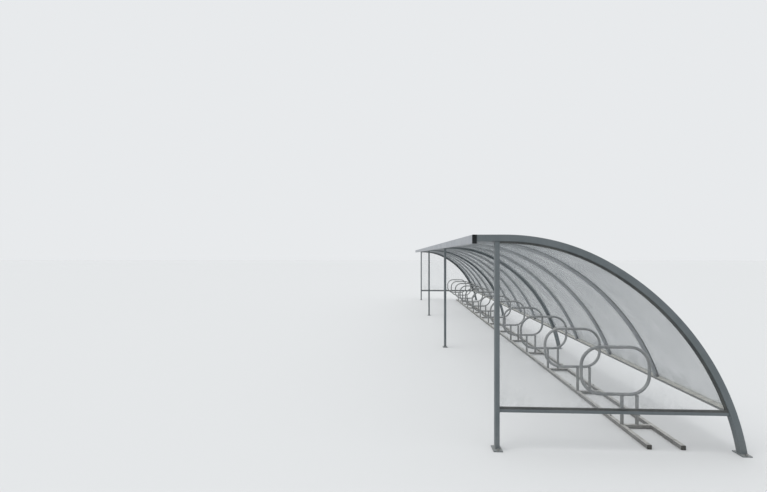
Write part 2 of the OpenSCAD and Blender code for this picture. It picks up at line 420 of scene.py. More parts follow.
class Sum(Enum):
    """Ways to work out one number from two."""

    PLUS = "ADD"
    MINUS = "SUBTRACT"
    TIMES = "MULTIPLY"
    OVER = "DIVIDE"
    POWER = "POWER"
    LARGER = "MAXIMUM"


class Cells(Enum):
    """Cell patterns, with crisp or with soft borders."""

    CRISP = "F1"
    SOFT = "SMOOTH_F1"


class Board:
    """A node tree in hand, with short calls for the nodes that the finishes use."""

    def __init__(self, tree: bpy.types.NodeTree) -> None:
        """Takes a node tree in hand."""
        self.tree = tree

    @staticmethod
    def material(name: str) -> tuple[bpy.types.Material, Board, bpy.types.Node]:
        """Starts a material.

        Args:
            name: the material's name.

        Returns:
            The material, its board and its Principled shader.
        """
        made = bpy.data.materials.new(name)
        made.use_nodes = True
        return made, Board(made.node_tree), made.node_tree.nodes["Principled BSDF"]

    def feed(self, node: bpy.types.Node, values: Inputs) -> None:
        """Links a node's inputs, or sets those whose value is a number, colour or vector.

        Args:
            node: the node.
            values: what goes into each input, by name or number.
        """
        for key, value in values.items():
            if isinstance(value, Socket):
                self.tree.links.new(value, node.inputs[key])
            else:
                node.inputs[key].default_value = value

    def node(self, kind: str, values: Optional[Inputs] = None,
             **settings: object) -> bpy.types.Node:
        """Adds a node.

        Args:
            kind: the node's type name.
            values: what goes into its inputs.
            settings: properties to set on it.

        Returns:
            The new node.
        """
        made = self.tree.nodes.new(kind)
        for key, value in settings.items():
            setattr(made, key, value)
        self.feed(made, values or {})
        return made

    def maths(self, kind: Sum, first: object, second: object, clamp: bool = False) -> Socket:
        """Works out one number from two, kept from 0 to 1 where `clamp` is set."""
        return self.node("ShaderNodeMath", {0: first, 1: second},
                         operation=kind.value, use_clamp=clamp).outputs[0]

    def times(self, first: object, second: object, clamp: bool = False) -> Socket:
        """The first number times the second."""
        return self.maths(Sum.TIMES, first, second, clamp)

    def plus(self, first: object, second: object, clamp: bool = False) -> Socket:
        """The first number plus the second."""
        return self.maths(Sum.PLUS, first, second, clamp)

    def upward(self, vector: Socket) -> Socket:
        """The Z part of a vector."""
        return self.node("ShaderNodeSeparateXYZ", {0: vector}).outputs["Z"]

    def stretch(self, vector: Socket, scale: Triple) -> Socket:
        """Scales coordinates differently along each axis."""
        return self.node("ShaderNodeMapping", {"Vector": vector, "Scale": scale}).outputs[0]

    def noise(self, vector: Socket, scale: object, detail: float, rough: float = 0.5) -> Socket:
        """Grey noise over coordinates."""
        return self.node("ShaderNodeTexNoise", {
            "Vector": vector, "Scale": scale, "Detail": detail, "Roughness": rough}).outputs["Fac"]

    def cells(self, vector: Socket, scale: object, kind: Cells) -> tuple[Socket, Socket, Socket]:
        """Adds a cell pattern.

        Args:
            vector: its coordinates.
            scale: its scale.
            kind: which pattern.

        Returns:
            The distance from a cell's middle, and two numbers that differ from cell to cell.
        """
        made = self.node(
            "ShaderNodeTexVoronoi", {"Vector": vector, "Scale": scale}, feature=kind.value)
        tint = self.node("ShaderNodeSeparateColor", {0: made.outputs["Color"]}).outputs
        return made.outputs["Distance"], tint[0], tint[1]

    def ramp(self, value: object, low: object, high: object,
             out_low: object = 0.0, out_high: object = 1.0) -> Socket:
        """Maps the range from low to high onto out_low to out_high, smoothly and clamped."""
        ends = dict(enumerate((value, low, high, out_low, out_high)))
        return self.node("ShaderNodeMapRange", ends, interpolation_type="SMOOTHSTEP").outputs[0]

    def mix(self, share: object, first: object, second: object) -> Socket:
        """Mixes two colours, from the first at a share of 0 to the second at 1."""
        full = [tint if isinstance(tint, Socket) else (*tint, 1.0) for tint in (first, second)]
        # a Mix node's colours go in at 6 and 7 and come out at 2
        return self.node("ShaderNodeMix", {0: share, 6: full[0], 7: full[1]},
                         data_type="RGBA").outputs[2]

    def bump(self, height: Socket, strength: float, distance: float) -> Socket:
        """A normal that follows a height."""
        return self.node("ShaderNodeBump", {
            "Strength": strength, "Distance": distance, "Height": height}).outputs[0]


class Effect(Enum):
    """Surface effects that several finishes share, each one a node group."""

    MOTTLE = "Mottle"
    GROUND_DIRT = "Ground dirt"
    RUN_STREAKS = "Run streaks"
    FINE_GRAIN = "Fine grain"
    DRIED_DROPS = "Dried drops"
    DUST_AND_TOP_LIGHT = "Settled dust"


class EffectBoard(Board):
    """The board of an effect's node group, with the group's inputs at hand."""

    def __init__(self, effect: Effect, numbers: dict[str, float]) -> None:
        """Starts a group with a Vector input, number inputs and one Value output.

        Args:
            effect: which effect.
            numbers: name and default of each number input, Scale among them.
        """
        super().__init__(bpy.data.node_groups.new(effect.value, "ShaderNodeTree"))
        interface = self.tree.interface
        interface.new_socket("Vector", in_out="INPUT", socket_type="NodeSocketVector")
        for name, default in numbers.items():
            socket = interface.new_socket(name, in_out="INPUT", socket_type="NodeSocketFloat")
            socket.default_value = default
        interface.new_socket("Value", in_out="OUTPUT", socket_type="NodeSocketFloat")
        self.into = self.node("NodeGroupInput").outputs
        self.place, self.scale = self.into["Vector"], self.into["Scale"]

    def mottle(self) -> Socket:
        """Cloudy variation at two sizes, from 0 to 1.

        Returns:
            The effect's socket.
        """
        finer, share = 9.0, 0.7
        broad = self.noise(self.place, self.scale, detail=3.0)
        fine = self.noise(self.place, self.times(self.scale, finer), detail=2.0, rough=0.6)
        both = self.plus(self.times(broad, share), self.times(fine, 1.0 - share))
        return self.ramp(both, low=0.36, high=0.64)

    def ground_dirt(self) -> Socket:
        """Splashed dirt that fades out with height above the ground.

        Returns:
            The effect's socket.
        """
        contrast, offset = 1.3, -0.35
        low = self.ramp(self.upward(self.place), 0.0, self.into["Height"], 1.0, 0.0)
        spots = self.noise(self.place, self.scale, detail=4.0, rough=0.65)
        uneven = self.plus(self.times(spots, contrast), offset)
        return self.times(low, uneven, clamp=True)

    def run_streaks(self) -> Socket:
        """Faint upright marks where rain has run down.

        Returns:
            The effect's socket.
        """
        upright, patch_scale = (26.0, 26.0, 1.4), 2.2
        lines = self.noise(self.stretch(self.place, upright), self.scale, detail=3.0, rough=0.6)
        patches = self.noise(self.place, patch_scale, detail=1.0)
        return self.times(
            self.ramp(lines, low=0.52, high=0.72), self.ramp(patches, low=0.35, high=0.65))

    def fine_grain(self) -> Socket:
        """The fine roughness of a coat, as a height."""
        return self.noise(self.place, self.scale, detail=1.0)

    def dried_drops(self) -> Socket:
        """Small round marks of dried rain, of uneven strength.

        Returns:
            The effect's socket.
        """
        radius, core = self.into["Radius"], 0.45
        distance, strength, _ = self.cells(self.place, self.scale, Cells.CRISP)
        mark = self.ramp(distance, self.times(radius, core), radius, out_low=1.0, out_high=0.0)
        return self.times(mark, self.ramp(strength, low=0.45, high=0.95))

    def dust_and_top_light(self) -> Socket:
        """Pale dust and painted top light on what looks up, with `Up` the upward part of the
        surface's direction.

        Returns:
            The effect's socket.
        """
        lying = self.ramp(self.into["Up"], low=0.2, high=0.95)
        uneven = self.noise(self.place, self.scale, detail=4.0, rough=0.6)
        return self.times(lying, self.ramp(uneven, low=0.2, high=0.7, out_low=0.4))


class Effects:
    """Builds each shared effect once, as a node group, and places it on boards."""

    recipes: dict[Effect, tuple[Callable[[EffectBoard], Socket], dict[str, float]]] = {
        Effect.MOTTLE: (EffectBoard.mottle, {"Scale": 4.0}),
        Effect.GROUND_DIRT: (EffectBoard.ground_dirt, {"Height": 0.3, "Scale": 30.0}),
        Effect.RUN_STREAKS: (EffectBoard.run_streaks, {"Scale": 1.0}),
        Effect.FINE_GRAIN: (EffectBoard.fine_grain, {"Scale": 600.0}),
        Effect.DRIED_DROPS: (EffectBoard.dried_drops, {"Scale": 90.0, "Radius": 0.25}),
        Effect.DUST_AND_TOP_LIGHT: (EffectBoard.dust_and_top_light, {"Up": 0.0, "Scale": 16.0}),
    }

    def __init__(self) -> None:
        """Starts with no groups."""
        self.made: dict[Effect, bpy.types.NodeTree] = {}

    def put(self, board: Board, effect: Effect, place: Socket, **values: object) -> Socket:
        """Places an effect's group on a board, and builds the group on first use.

        Args:
            board: the board.
            effect: which effect.
            place: the coordinates that it reads.
            values: its number inputs by name.

        Returns:
            Its value's socket.
        """
        if effect not in self.made:
            wire, numbers = self.recipes[effect]
            group = EffectBoard(effect, numbers)
            group.node("NodeGroupOutput", {0: wire(group)})
            self.made[effect] = group.tree
        given = {name.capitalize(): value for name, value in values.items()}
        node = board.node(
            "ShaderNodeGroup", {"Vector": place, **given}, node_tree=self.made[effect])
        return node.outputs[0]


# ---------------------------------------------------------------- the finishes

class Finish(Enum):
    """The finishes on the shelter, each named for what it covers."""

    FRAME = "frame_paint"
    BEAM = "beam_paint"
    RAIL = "rail_paint"
    BAR = "bar_aluminium"
    ZINC = "galvanised_steel"
    RACK = "galvanised_ground_rail"
    SHEET = "clear_acrylic"
    PANE = "clear_acrylic_gable"
    SEAL = "seal_rubber"
    CAP = "cap_plastic"


@dataclass(frozen=True)
class SolidFinish:
    """An opaque finish: a colour that drifts, run marks, dust and painted top light, ground dirt
    and a fine grain.
    """

    colour: Triple
    drift: Triple
    rough_low: float
    rough_high: float
    metallic: float = 0.0
    shine: float = 0.5
    mottle_scale: float = 5.0
    grain_scale: float = 700.0
    grain_depth: float = 0.00012
    grain_strength: float = 0.5
    dirt: Triple = (0.20, 0.17, 0.13)
    dirt_share: float = 0.45
    dirt_height: float = 0.28
    dirt_scale: float = 26.0
    dirt_rough: float = 0.3
    streak_share: float = 0.18
    streak_shade: float = 0.55
    # upward faces are lightened towards this colour: settled dust, and painted top light as well
    top_dust_and_light: Triple = (0.46, 0.455, 0.42)
    top_dust_and_light_share: float = 0.35
    brush: Optional[Triple] = None
    brush_share: float = 0.6
    spangle_scale: float = 0.0
    spangle_share: float = 0.55

    def build(self, name: str, effects: Effects) -> bpy.types.Material:
        """Wires the finish.

        Args:
            name: the material's name.
            effects: the shared effects.

        Returns:
            The material.
        """
        made, board, shader = Board.material(name)
        coords = board.node("ShaderNodeTexCoord").outputs
        place = coords["Object"]
        cloudy = effects.put(board, Effect.MOTTLE, place, scale=self.mottle_scale)
        colour, rough = board.mix(cloudy, self.colour, self.drift), cloudy
        if self.spangle_scale:
            _, tint, rough = board.cells(place, self.spangle_scale, Cells.SOFT)
            colour = board.mix(board.times(tint, self.spangle_share), colour, self.drift)
        if self.brush:
            lines = board.noise(board.stretch(place, self.brush), 1.0, detail=3.0, rough=0.7)
            worn = board.ramp(lines, low=0.35, high=0.75, out_high=self.brush_share)
            colour = board.mix(worn, colour, self.drift)
            rough = board.plus(board.times(rough, 1.0 - self.brush_share),
                               board.times(lines, self.brush_share))
        streaks = effects.put(board, Effect.RUN_STREAKS, place, scale=1.0)
        darker = tuple(self.streak_shade * value for value in self.colour)
        colour = board.mix(board.times(streaks, self.streak_share), colour, darker)
        # painted top light with settled dust: faces that look up are lightened the way light from
        # above would light them
        dust = effects.put(board, Effect.DUST_AND_TOP_LIGHT, place, up=board.upward(coords["Normal"]))
        colour = board.mix(board.times(dust, self.top_dust_and_light_share), colour, self.top_dust_and_light)
        dirt = effects.put(board, Effect.GROUND_DIRT, place,
                           height=self.dirt_height, scale=self.dirt_scale)
        dirt = board.times(dirt, self.dirt_share)
        rough = board.ramp(rough, 0.0, 1.0, self.rough_low, self.rough_high)
        grain = effects.put(board, Effect.FINE_GRAIN, place, scale=self.grain_scale)
        board.feed(shader, {
            "Base Color": board.mix(dirt, colour, self.dirt),
            "Roughness": board.plus(rough, board.times(dirt, self.dirt_rough), clamp=True),
            "Metallic": self.metallic,
            "Specular IOR Level": self.shine,
            "Normal": board.bump(grain, self.grain_strength, self.grain_depth)})
        return made


@dataclass(frozen=True)
class SheetFinish:
    """Clear acrylic with a faint haze, dust, dried drops and a dirty lower edge."""

    haze_colour: Triple = (0.36, 0.39, 0.405)
    dust_colour: Triple = (0.42, 0.41, 0.375)
    haze: float = 0.10
    flattest: float = 0.03
    cloud_scale: float = 3.0
    dust_share: float = 0.012
    drop_scale: float = 85.0
    drop_r: float = 0.34
    drop_share: float = 0.06
    speck_scale: float = 260.0
    speck_r: float = 0.30
    speck_share: float = 0.6
    edge_height: float = 0.62
    edge_floor: float = 0.36
    edge_share: float = 0.07
    run_share: float = 0.02
    soil_gain: float = 3.0
    rough_low: float = 0.12
    rough_high: float = 0.24
    wave_scale: float = 2.6
    wave_strength: float = 0.35
    wave_depth: float = 0.004
    ior: float = 1.49
    shine: float = 0.2

    def build(self, name: str, effects: Effects) -> bpy.types.Material:
        """Wires the finish.

        Args:
            name: the material's name.
            effects: the shared effects.

        Returns:
            The material.
        """
        made, board, shader = Board.material(name)
        place = board.node("ShaderNodeTexCoord").outputs["Object"]
        cloudy = effects.put(board, Effect.MOTTLE, place, scale=self.cloud_scale)
        drops, specks = (
            effects.put(board, Effect.DRIED_DROPS, place, scale=scale, radius=radius)
            for scale, radius in ((self.drop_scale, self.drop_r), (self.speck_scale, self.speck_r)))
        streaks = effects.put(board, Effect.RUN_STREAKS, place, scale=1.0)
        low = board.ramp(board.upward(place), self.edge_floor, self.edge_height, 1.0, 0.0)
        edge = board.times(board.times(low, cloudy), self.edge_share)
        marks = board.maths(Sum.LARGER, drops, board.times(specks, self.speck_share))
        marks = board.times(marks, self.drop_share)
        veil = board.plus(board.times(cloudy, self.dust_share), edge)
        veil = board.plus(veil, board.plus(marks, board.times(streaks, self.run_share)))
        veil = board.plus(veil, self.haze, clamp=True)
        facing = board.node("ShaderNodeLayerWeight", {"Blend": 0.5}).outputs["Facing"]
        square_on = board.maths(Sum.LARGER, board.maths(Sum.MINUS, 1.0, facing), self.flattest)
        passes = board.maths(Sum.POWER, board.maths(Sum.MINUS, 1.0, veil),
                             board.maths(Sum.OVER, 1.0, square_on))
        soiled = board.times(board.plus(edge, marks), self.soil_gain, clamp=True)
        waves = board.noise(place, self.wave_scale, detail=1.0)
        board.feed(shader, {
            "Alpha": board.maths(Sum.MINUS, 1.0, passes, clamp=True),
            "Base Color": board.mix(soiled, self.haze_colour, self.dust_colour),
            "Roughness": board.ramp(cloudy, 0.0, 1.0, self.rough_low, self.rough_high),
            "IOR": self.ior,
            "Specular IOR Level": self.shine,
            "Normal": board.bump(waves, self.wave_strength, self.wave_depth)})
        made.use_transparent_shadow = True
        return made


class Paintshop:
    """Holds the shelter's finishes and puts them on pieces."""

    def __init__(self) -> None:
        """Builds every finish once."""
        effects = Effects()
        recipes: dict[Finish, SolidFinish | SheetFinish] = {
            Finish.FRAME: SolidFinish(
                (0.112, 0.132, 0.139), (0.138, 0.158, 0.166), 0.42, 0.58,
                dirt=(0.27, 0.265, 0.245)),
            # the beams' upward faces are lightened: dust and painted top light
            Finish.BEAM: SolidFinish(
                (0.27, 0.287, 0.311), (0.316, 0.332, 0.356), 0.35, 0.5,
                top_dust_and_light=(0.52, 0.51, 0.48), top_dust_and_light_share=0.6),
            # dark rail, its top lightened almost fully: painted top light with its dust
            Finish.RAIL: SolidFinish(
                (0.20, 0.20, 0.19), (0.27, 0.27, 0.26), 0.45, 0.6,
                top_dust_and_light=(0.68, 0.66, 0.59), top_dust_and_light_share=0.95),
            Finish.BAR: SolidFinish(
                (0.30, 0.315, 0.325), (0.37, 0.385, 0.395), 0.38, 0.56, metallic=0.3,
                brush=(3.0, 900.0, 3.0)),
            Finish.ZINC: SolidFinish(
                (0.205, 0.213, 0.214), (0.313, 0.318, 0.315), 0.32, 0.54, metallic=0.6,
                spangle_scale=70.0, dirt_share=0.4, top_dust_and_light_share=0.08),
            # the ground rails' tops lightened strongly: painted top light with their dust
            Finish.RACK: SolidFinish(
                (0.20, 0.20, 0.195), (0.31, 0.31, 0.30), 0.4, 0.65, metallic=0.3,
                spangle_scale=70.0, dirt=(0.15, 0.14, 0.12), dirt_share=0.7,
                top_dust_and_light=(0.68, 0.67, 0.63), top_dust_and_light_share=0.9),
            Finish.SHEET: SheetFinish(),
            Finish.PANE: SheetFinish(haze=0.055),
            Finish.SEAL: SolidFinish(
                (0.056, 0.059, 0.059), (0.102, 0.106, 0.101), 0.6, 0.8,
                shine=0.3, grain_scale=1400.0, streak_share=0.0),
            Finish.CAP: SolidFinish(
                (0.010, 0.012, 0.013), (0.022, 0.024, 0.025), 0.5, 0.7,
                shine=0.15, grain_scale=1100.0, streak_share=0.0,
                dirt=(0.26, 0.25, 0.225), dirt_share=0.9),
        }
        self.materials = {
            finish: recipe.build(finish.value, effects) for finish, recipe in recipes.items()}

    def dress(self, obj: Piece, finish: Finish) -> None:
        """Puts one finish all over an object."""
        obj.data.materials.clear()
        obj.data.materials.append(self.materials[finish])

    def hand_over(self, name: str, obj: Piece, finish: Finish, *stands_for: str) -> None:
        """Finishes a new piece: name, material, body, slot, and the nodes it stands for.

        Args:
            name: the piece's name.
            obj: the finished piece.
            finish: its finish.
            stands_for: names of the frame's nodes that it replaces.
        """
        obj.name = name
        obj.data.name = name
        self.dress(obj, finish)
        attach(obj, BODY)
        if stands_for:
            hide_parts(*stands_for)
        LOG.info("piece %s: %d faces, %s", name, len(obj.data.polygons), finish.value)


# ---------------------------------------------------------------- fasteners and weld beads

class Fasteners:
    """Shapes of bolts, screws and weld beads, each made round the origin with Z up."""

    @staticmethod
    def nut_on_washer(radius: float, stud: float) -> Piece:
        """A hexagon nut on a washer, with the end of its stud standing out.

        Args:
            radius: the washer's radius, and nearly the nut's.
            stud: the stud's radius.

        Returns:
            The shape, its underside at z = 0.
        """
        washer_t, nut_t, stud_out = 0.22 * radius, 0.85 * radius, 0.5 * radius
        nut_r, rim, crown = 0.94 * radius, 0.12 * radius, 0.05 * radius
        washer_edge, nut_edge = 0.06 * radius, 0.05 * radius
        groove, rings = 0.86, 4
        washer = Bench.round_bar(radius, 0.0, washer_t, sides=24)
        Bench.chamfer(washer, washer_edge)
        nut = Bench.round_bar(nut_r, washer_t, nut_t, sides=6)
        Bench.pick_faces(nut, looks_up)
        Bench.edit(nut, Steps.inset(rim), lambda: bpy.ops.transform.translate(value=(0, 0, crown)))
        Bench.chamfer(nut, nut_edge)
        stem = Bench.round_bar(stud, 0.0, washer_t + nut_t, sides=16)
        thread = []
        for ring in range(rings):
            size = 1 / groove if ring % 2 else groove
            thread += [Steps.extrude((0, 0, stud_out / rings)), Steps.resize((size, size, 1))]
        Bench.pick_faces(stem, looks_up)
        Bench.edit(stem, *thread)
        return Bench.join([washer, nut, stem])

    @staticmethod
    def screw(radius: float) -> Piece:
        """A low round-headed screw with a drive recess, on its sealing washer.

        Args:
            radius: the washer's radius.

        Returns:
            The shape, its underside at z = 0.
        """
        washer_t, head_t, head_r = 0.2 * radius, 0.4 * radius, 0.72 * radius
        edge, rim, recess = 0.14 * radius, 0.28 * radius, 0.22 * radius
        broad = 0.5 * radius * radius
        washer = Bench.round_bar(radius, 0.0, washer_t, sides=12)
        head = Bench.round_bar(head_r, washer_t, head_t, sides=12)
        Bench.chamfer(head, edge, segments=2)
        Bench.pick_faces(head, lambda face: looks_up(face) and face.area > broad)
        Bench.edit(head, Steps.inset(rim), Steps.extrude((0, 0, -recess)))
        return Bench.join([washer, head])

    @staticmethod
    def cleat(leg: float, height: float, thickness: float, screw_r: float) -> Piece:
        """A small angle with a screw in each leg, its legs along X and Y from its corner.

        Args:
            leg: length of a leg.
            height: its height along Z, half of it above the origin.
            thickness: thickness of the legs.
            screw_r: radius of the screws' washers.

        Returns:
            The shape.
        """
        half, screw_at, edge = thickness / 2, 0.6 * leg, 0.12 * thickness
        corner = 1.1 * thickness  # what lies nearer than this belongs to no leg yet
        angle = Bench.block(Vector((half, half, 0)), Vector((thickness, thickness, height)))
        for axis in (0, 1):
            out = [0.0, 0.0, 0.0]
            out[axis] = leg - thickness
            Bench.pick_faces(angle, lambda face: (
                face.normal[axis] > FACING and max(face.center.xy) < corner))
            Bench.edit(angle, Steps.extrude(out))
        Bench.chamfer(angle, edge)
        places = [spot(screw_at, thickness, 0, Matrix.Rotation(-QUARTER, 4, "X")),
                  spot(thickness, screw_at, 0, Matrix.Rotation(QUARTER, 4, "Y"))]
        return Bench.join([angle, *Bench.copies(Fasteners.screw(screw_r), places)])

    @staticmethod
    def weld_skirt(width: float, depth: float, leg: float, seed: int) -> Piece:
        """A weld bead round a rectangular tube: a low sloping skirt with an uneven surface.

        Args:
            width: the tube's size along X.
            depth: the tube's size along Y.
            leg: the bead's leg.
            seed: seed for its unevenness.

        Returns:
            The shape, its underside at z = 0.
        """
        uneven, cuts = 0.12 * leg, 6
        wide, deep = width + 2 * leg, depth + 2 * leg
        skirt = Bench.block(Vector((0, 0, leg / 2)), Vector((wide, deep, leg)))
        Bench.pick_faces(skirt, looks_up)
        Bench.edit(skirt, Steps.resize((width / wide, depth / deep, 1.0), (0, 0, leg)))
        Bench.pick_faces(skirt, lambda face: abs(face.normal.z) < FACING)
        Bench.edit(
            skirt,
            lambda: bpy.ops.mesh.subdivide(number_cuts=cuts),
            lambda: bpy.ops.transform.vertex_random(offset=uneven, seed=seed))
        return skirt


# ---------------------------------------------------------------- the sub-assemblies

@dataclass
class SubAssembly:
    """What the sub-assemblies share: the finishes, the roof's curve and the row's spacing."""

    shop: Paintshop
    curve: RoofCurve
    bays: int = 12
    bays_per_frame: int = 4
    bay_w: float = 1.225
    rib_w: float = 0.060
    beam_d: float = 0.040
    rail_z: float = 0.370
    corner_r: float = 0.005
    weld: float = 0.004

    def line_y(self, index: float) -> float:
        """Place along the row of rib or bar number `index`, from 0."""
        return (index - self.bays / 2) * self.bay_w

    def sides(self, index: int) -> list[int]:
        """The sides of rib or bar number `index` that have a bay, as -1 and 1 along the row."""
        return [side for side in (-1, 1) if 0 <= index + side <= self.bays]

    @property
    def frame_rows(self) -> list[float]:
        """Places of the main frames along the row, read from their ribs."""
        frames = self.bays // self.bays_per_frame + 1
        return [middle(f"main_rib_{k + 1}").y for k in range(frames)]

    @property
    def rail_angle(self) -> float:
        """Angle of the roof's rear bend at the middle of the rear rail."""
        return self.curve.rear_angle(self.rail_z, self.rib_w)

    def dress(self, finish: Finish, *nodes: str) -> None:
        """Gives the frame's nodes that stay their finish."""
        for node in nodes:
            self.shop.dress(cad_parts[node], finish)

    def assemble(self, name: str, parts: Sequence[Piece], finish: Finish, *stands_for: str,
                 shade: Optional[float] = None) -> None:
        """Joins parts into one piece and hands it over.

        Args:
            name: the piece's name.
            parts: what to join.
            finish: the piece's finish.
            stands_for: names of the nodes that it replaces.
            shade: edges of up to this many degrees are shaded smooth, or None for flat faces.
        """
        made = Bench.join(parts)
        if shade is not None:
            Bench.smooth(made, shade)
        self.shop.hand_over(name, made, finish, *stands_for)


@dataclass
class MainFrames(SubAssembly):
    """The four bent ribs on their posts, with base plates, welds and anchors."""

    post_w: float = 0.040
    post_d: float = 0.060
    plate_t: float = 0.008
    hole_y: float = 0.055
    nut_r: float = 0.0105
    stud_r: float = 0.006

    def build(self) -> None:
        """Bends the ribs, dresses the rest and adds the welds and anchor nuts."""
        ground = self.curve.rear_angle(0.0, 0.0)
        for number, y in enumerate(self.frame_rows, 1):
            rib = self.curve.bent_tube(
                self.beam_d, ground, 0.0, self.rib_w, y, self.rib_w, self.corner_r, self.plate_t)
            self.shop.hand_over(f"bent_rib_{number}", rib, Finish.FRAME, f"main_rib_{number}")
            self.dress(Finish.FRAME, f"front_post_{number}")
        self.dress(Finish.FRAME, "post_bases", "rib_bases")
        self.post_welds()
        self.foot_welds()
        self.anchors()

    def post_welds(self) -> None:
        """Weld beads at the posts' feet and tops."""
        x, top = middle("front_post_1").x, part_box("front_post_1")[1].z
        over = Matrix.Rotation(math.pi, 4, "X")
        places = [spot(x, y, self.plate_t) for y in self.frame_rows]
        places += [spot(x, y, top, over) for y in self.frame_rows]
        model = Fasteners.weld_skirt(self.post_w, self.post_d, self.weld, seed=3)
        self.assemble("post_welds", Bench.copies(model, places), Finish.FRAME)

    def foot_welds(self) -> None:
        """Weld beads at the ribs' feet, which stand aslant on their base plates."""
        low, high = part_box("rib_bases")
        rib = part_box("main_rib_1")[1].x
        x = (low.x + high.x) / 2
        places = [spot(x, y, self.plate_t) for y in self.frame_rows]
        model = Fasteners.weld_skirt(2 * (rib - x), self.rib_w, self.weld, seed=5)
        self.assemble("rib_foot_welds", Bench.copies(model, places), Finish.FRAME)

    def anchors(self) -> None:
        """Nuts and washers over every anchor hole."""
        for name, plates in (("post_anchors", "post_bases"), ("rib_anchors", "rib_bases")):
            x = middle(plates).x
            places = [spot(x, y + side * self.hole_y, self.plate_t)
                      for y in self.frame_rows for side in (-1, 1)]
            nuts = Bench.copies(Fasteners.nut_on_washer(self.nut_r, self.stud_r), places)
            self.assemble(name, nuts, Finish.ZINC, shade=SOFT_EDGE)


@dataclass
class LongBeams(SubAssembly):
    """Front beams, rear rails, gable bars and the tubes' end caps, and the welds at their ends."""

    bar_h: float = 0.030
    bar_d: float = 0.040
    rail_t: float = 0.030

    def build(self) -> None:
        """Dresses the nodes and adds the welds."""
        self.dress(Finish.BEAM, "front_beams")
        self.dress(Finish.RAIL, "rear_rails")
        self.dress(Finish.FRAME, "gable_bars")
        self.dress(Finish.CAP, "end_caps")
        self.bar_welds()
        self.tip_welds()
        self.rail_welds()

    def bar_welds(self) -> None:
        """Weld beads where the gable bars meet the posts."""
        low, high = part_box("gable_bars")
        z = (low.z + high.z) / 2
        turn = Matrix.Rotation(QUARTER, 4, "Y")
        rows = (low.y + self.bar_d / 2, high.y - self.bar_d / 2)
        places = [spot(low.x, y, z, turn) for y in rows]
        model = Fasteners.weld_skirt(self.bar_h, self.bar_d, self.weld, seed=7)
        self.assemble("gable_bar_welds", Bench.copies(model, places), Finish.FRAME)

    def tip_welds(self) -> None:
        """Weld beads where the ribs' front ends meet the back of the beams, flush on top."""
        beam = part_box("front_beams")[1]
        bead = self.rib_w + 1.5 * self.weld  # its height, with room for its uneven surface
        turn = Matrix.Rotation(QUARTER, 4, "Y")
        places = [spot(beam.x, y, beam.z - bead / 2, turn) for y in self.frame_rows]
        model = Fasteners.weld_skirt(self.rib_w - self.weld, self.rib_w, self.weld, seed=11)
        self.assemble("rib_tip_welds", Bench.copies(model, places), Finish.FRAME)

    def rail_welds(self) -> None:
        """Weld beads where the rear rails meet the ribs' sides."""
        length = self.curve.length_at(self.rail_angle)
        places = []
        for k, row in enumerate(self.frame_rows):
            for side in self.sides(k * self.bays_per_frame):
                turn = Matrix.Rotation(-side * QUARTER, 4, "X")
                at = self.curve.place(length, self.rib_w / 2, row + side * self.rib_w / 2)
                places.append(at @ spot(self.rail_t / 2, 0.0, 0.0, turn))
        model = Fasteners.weld_skirt(self.rail_t, self.rib_w, self.weld, seed=13)
        self.assemble("rear_rail_welds", Bench.copies(model, places), Finish.BEAM)


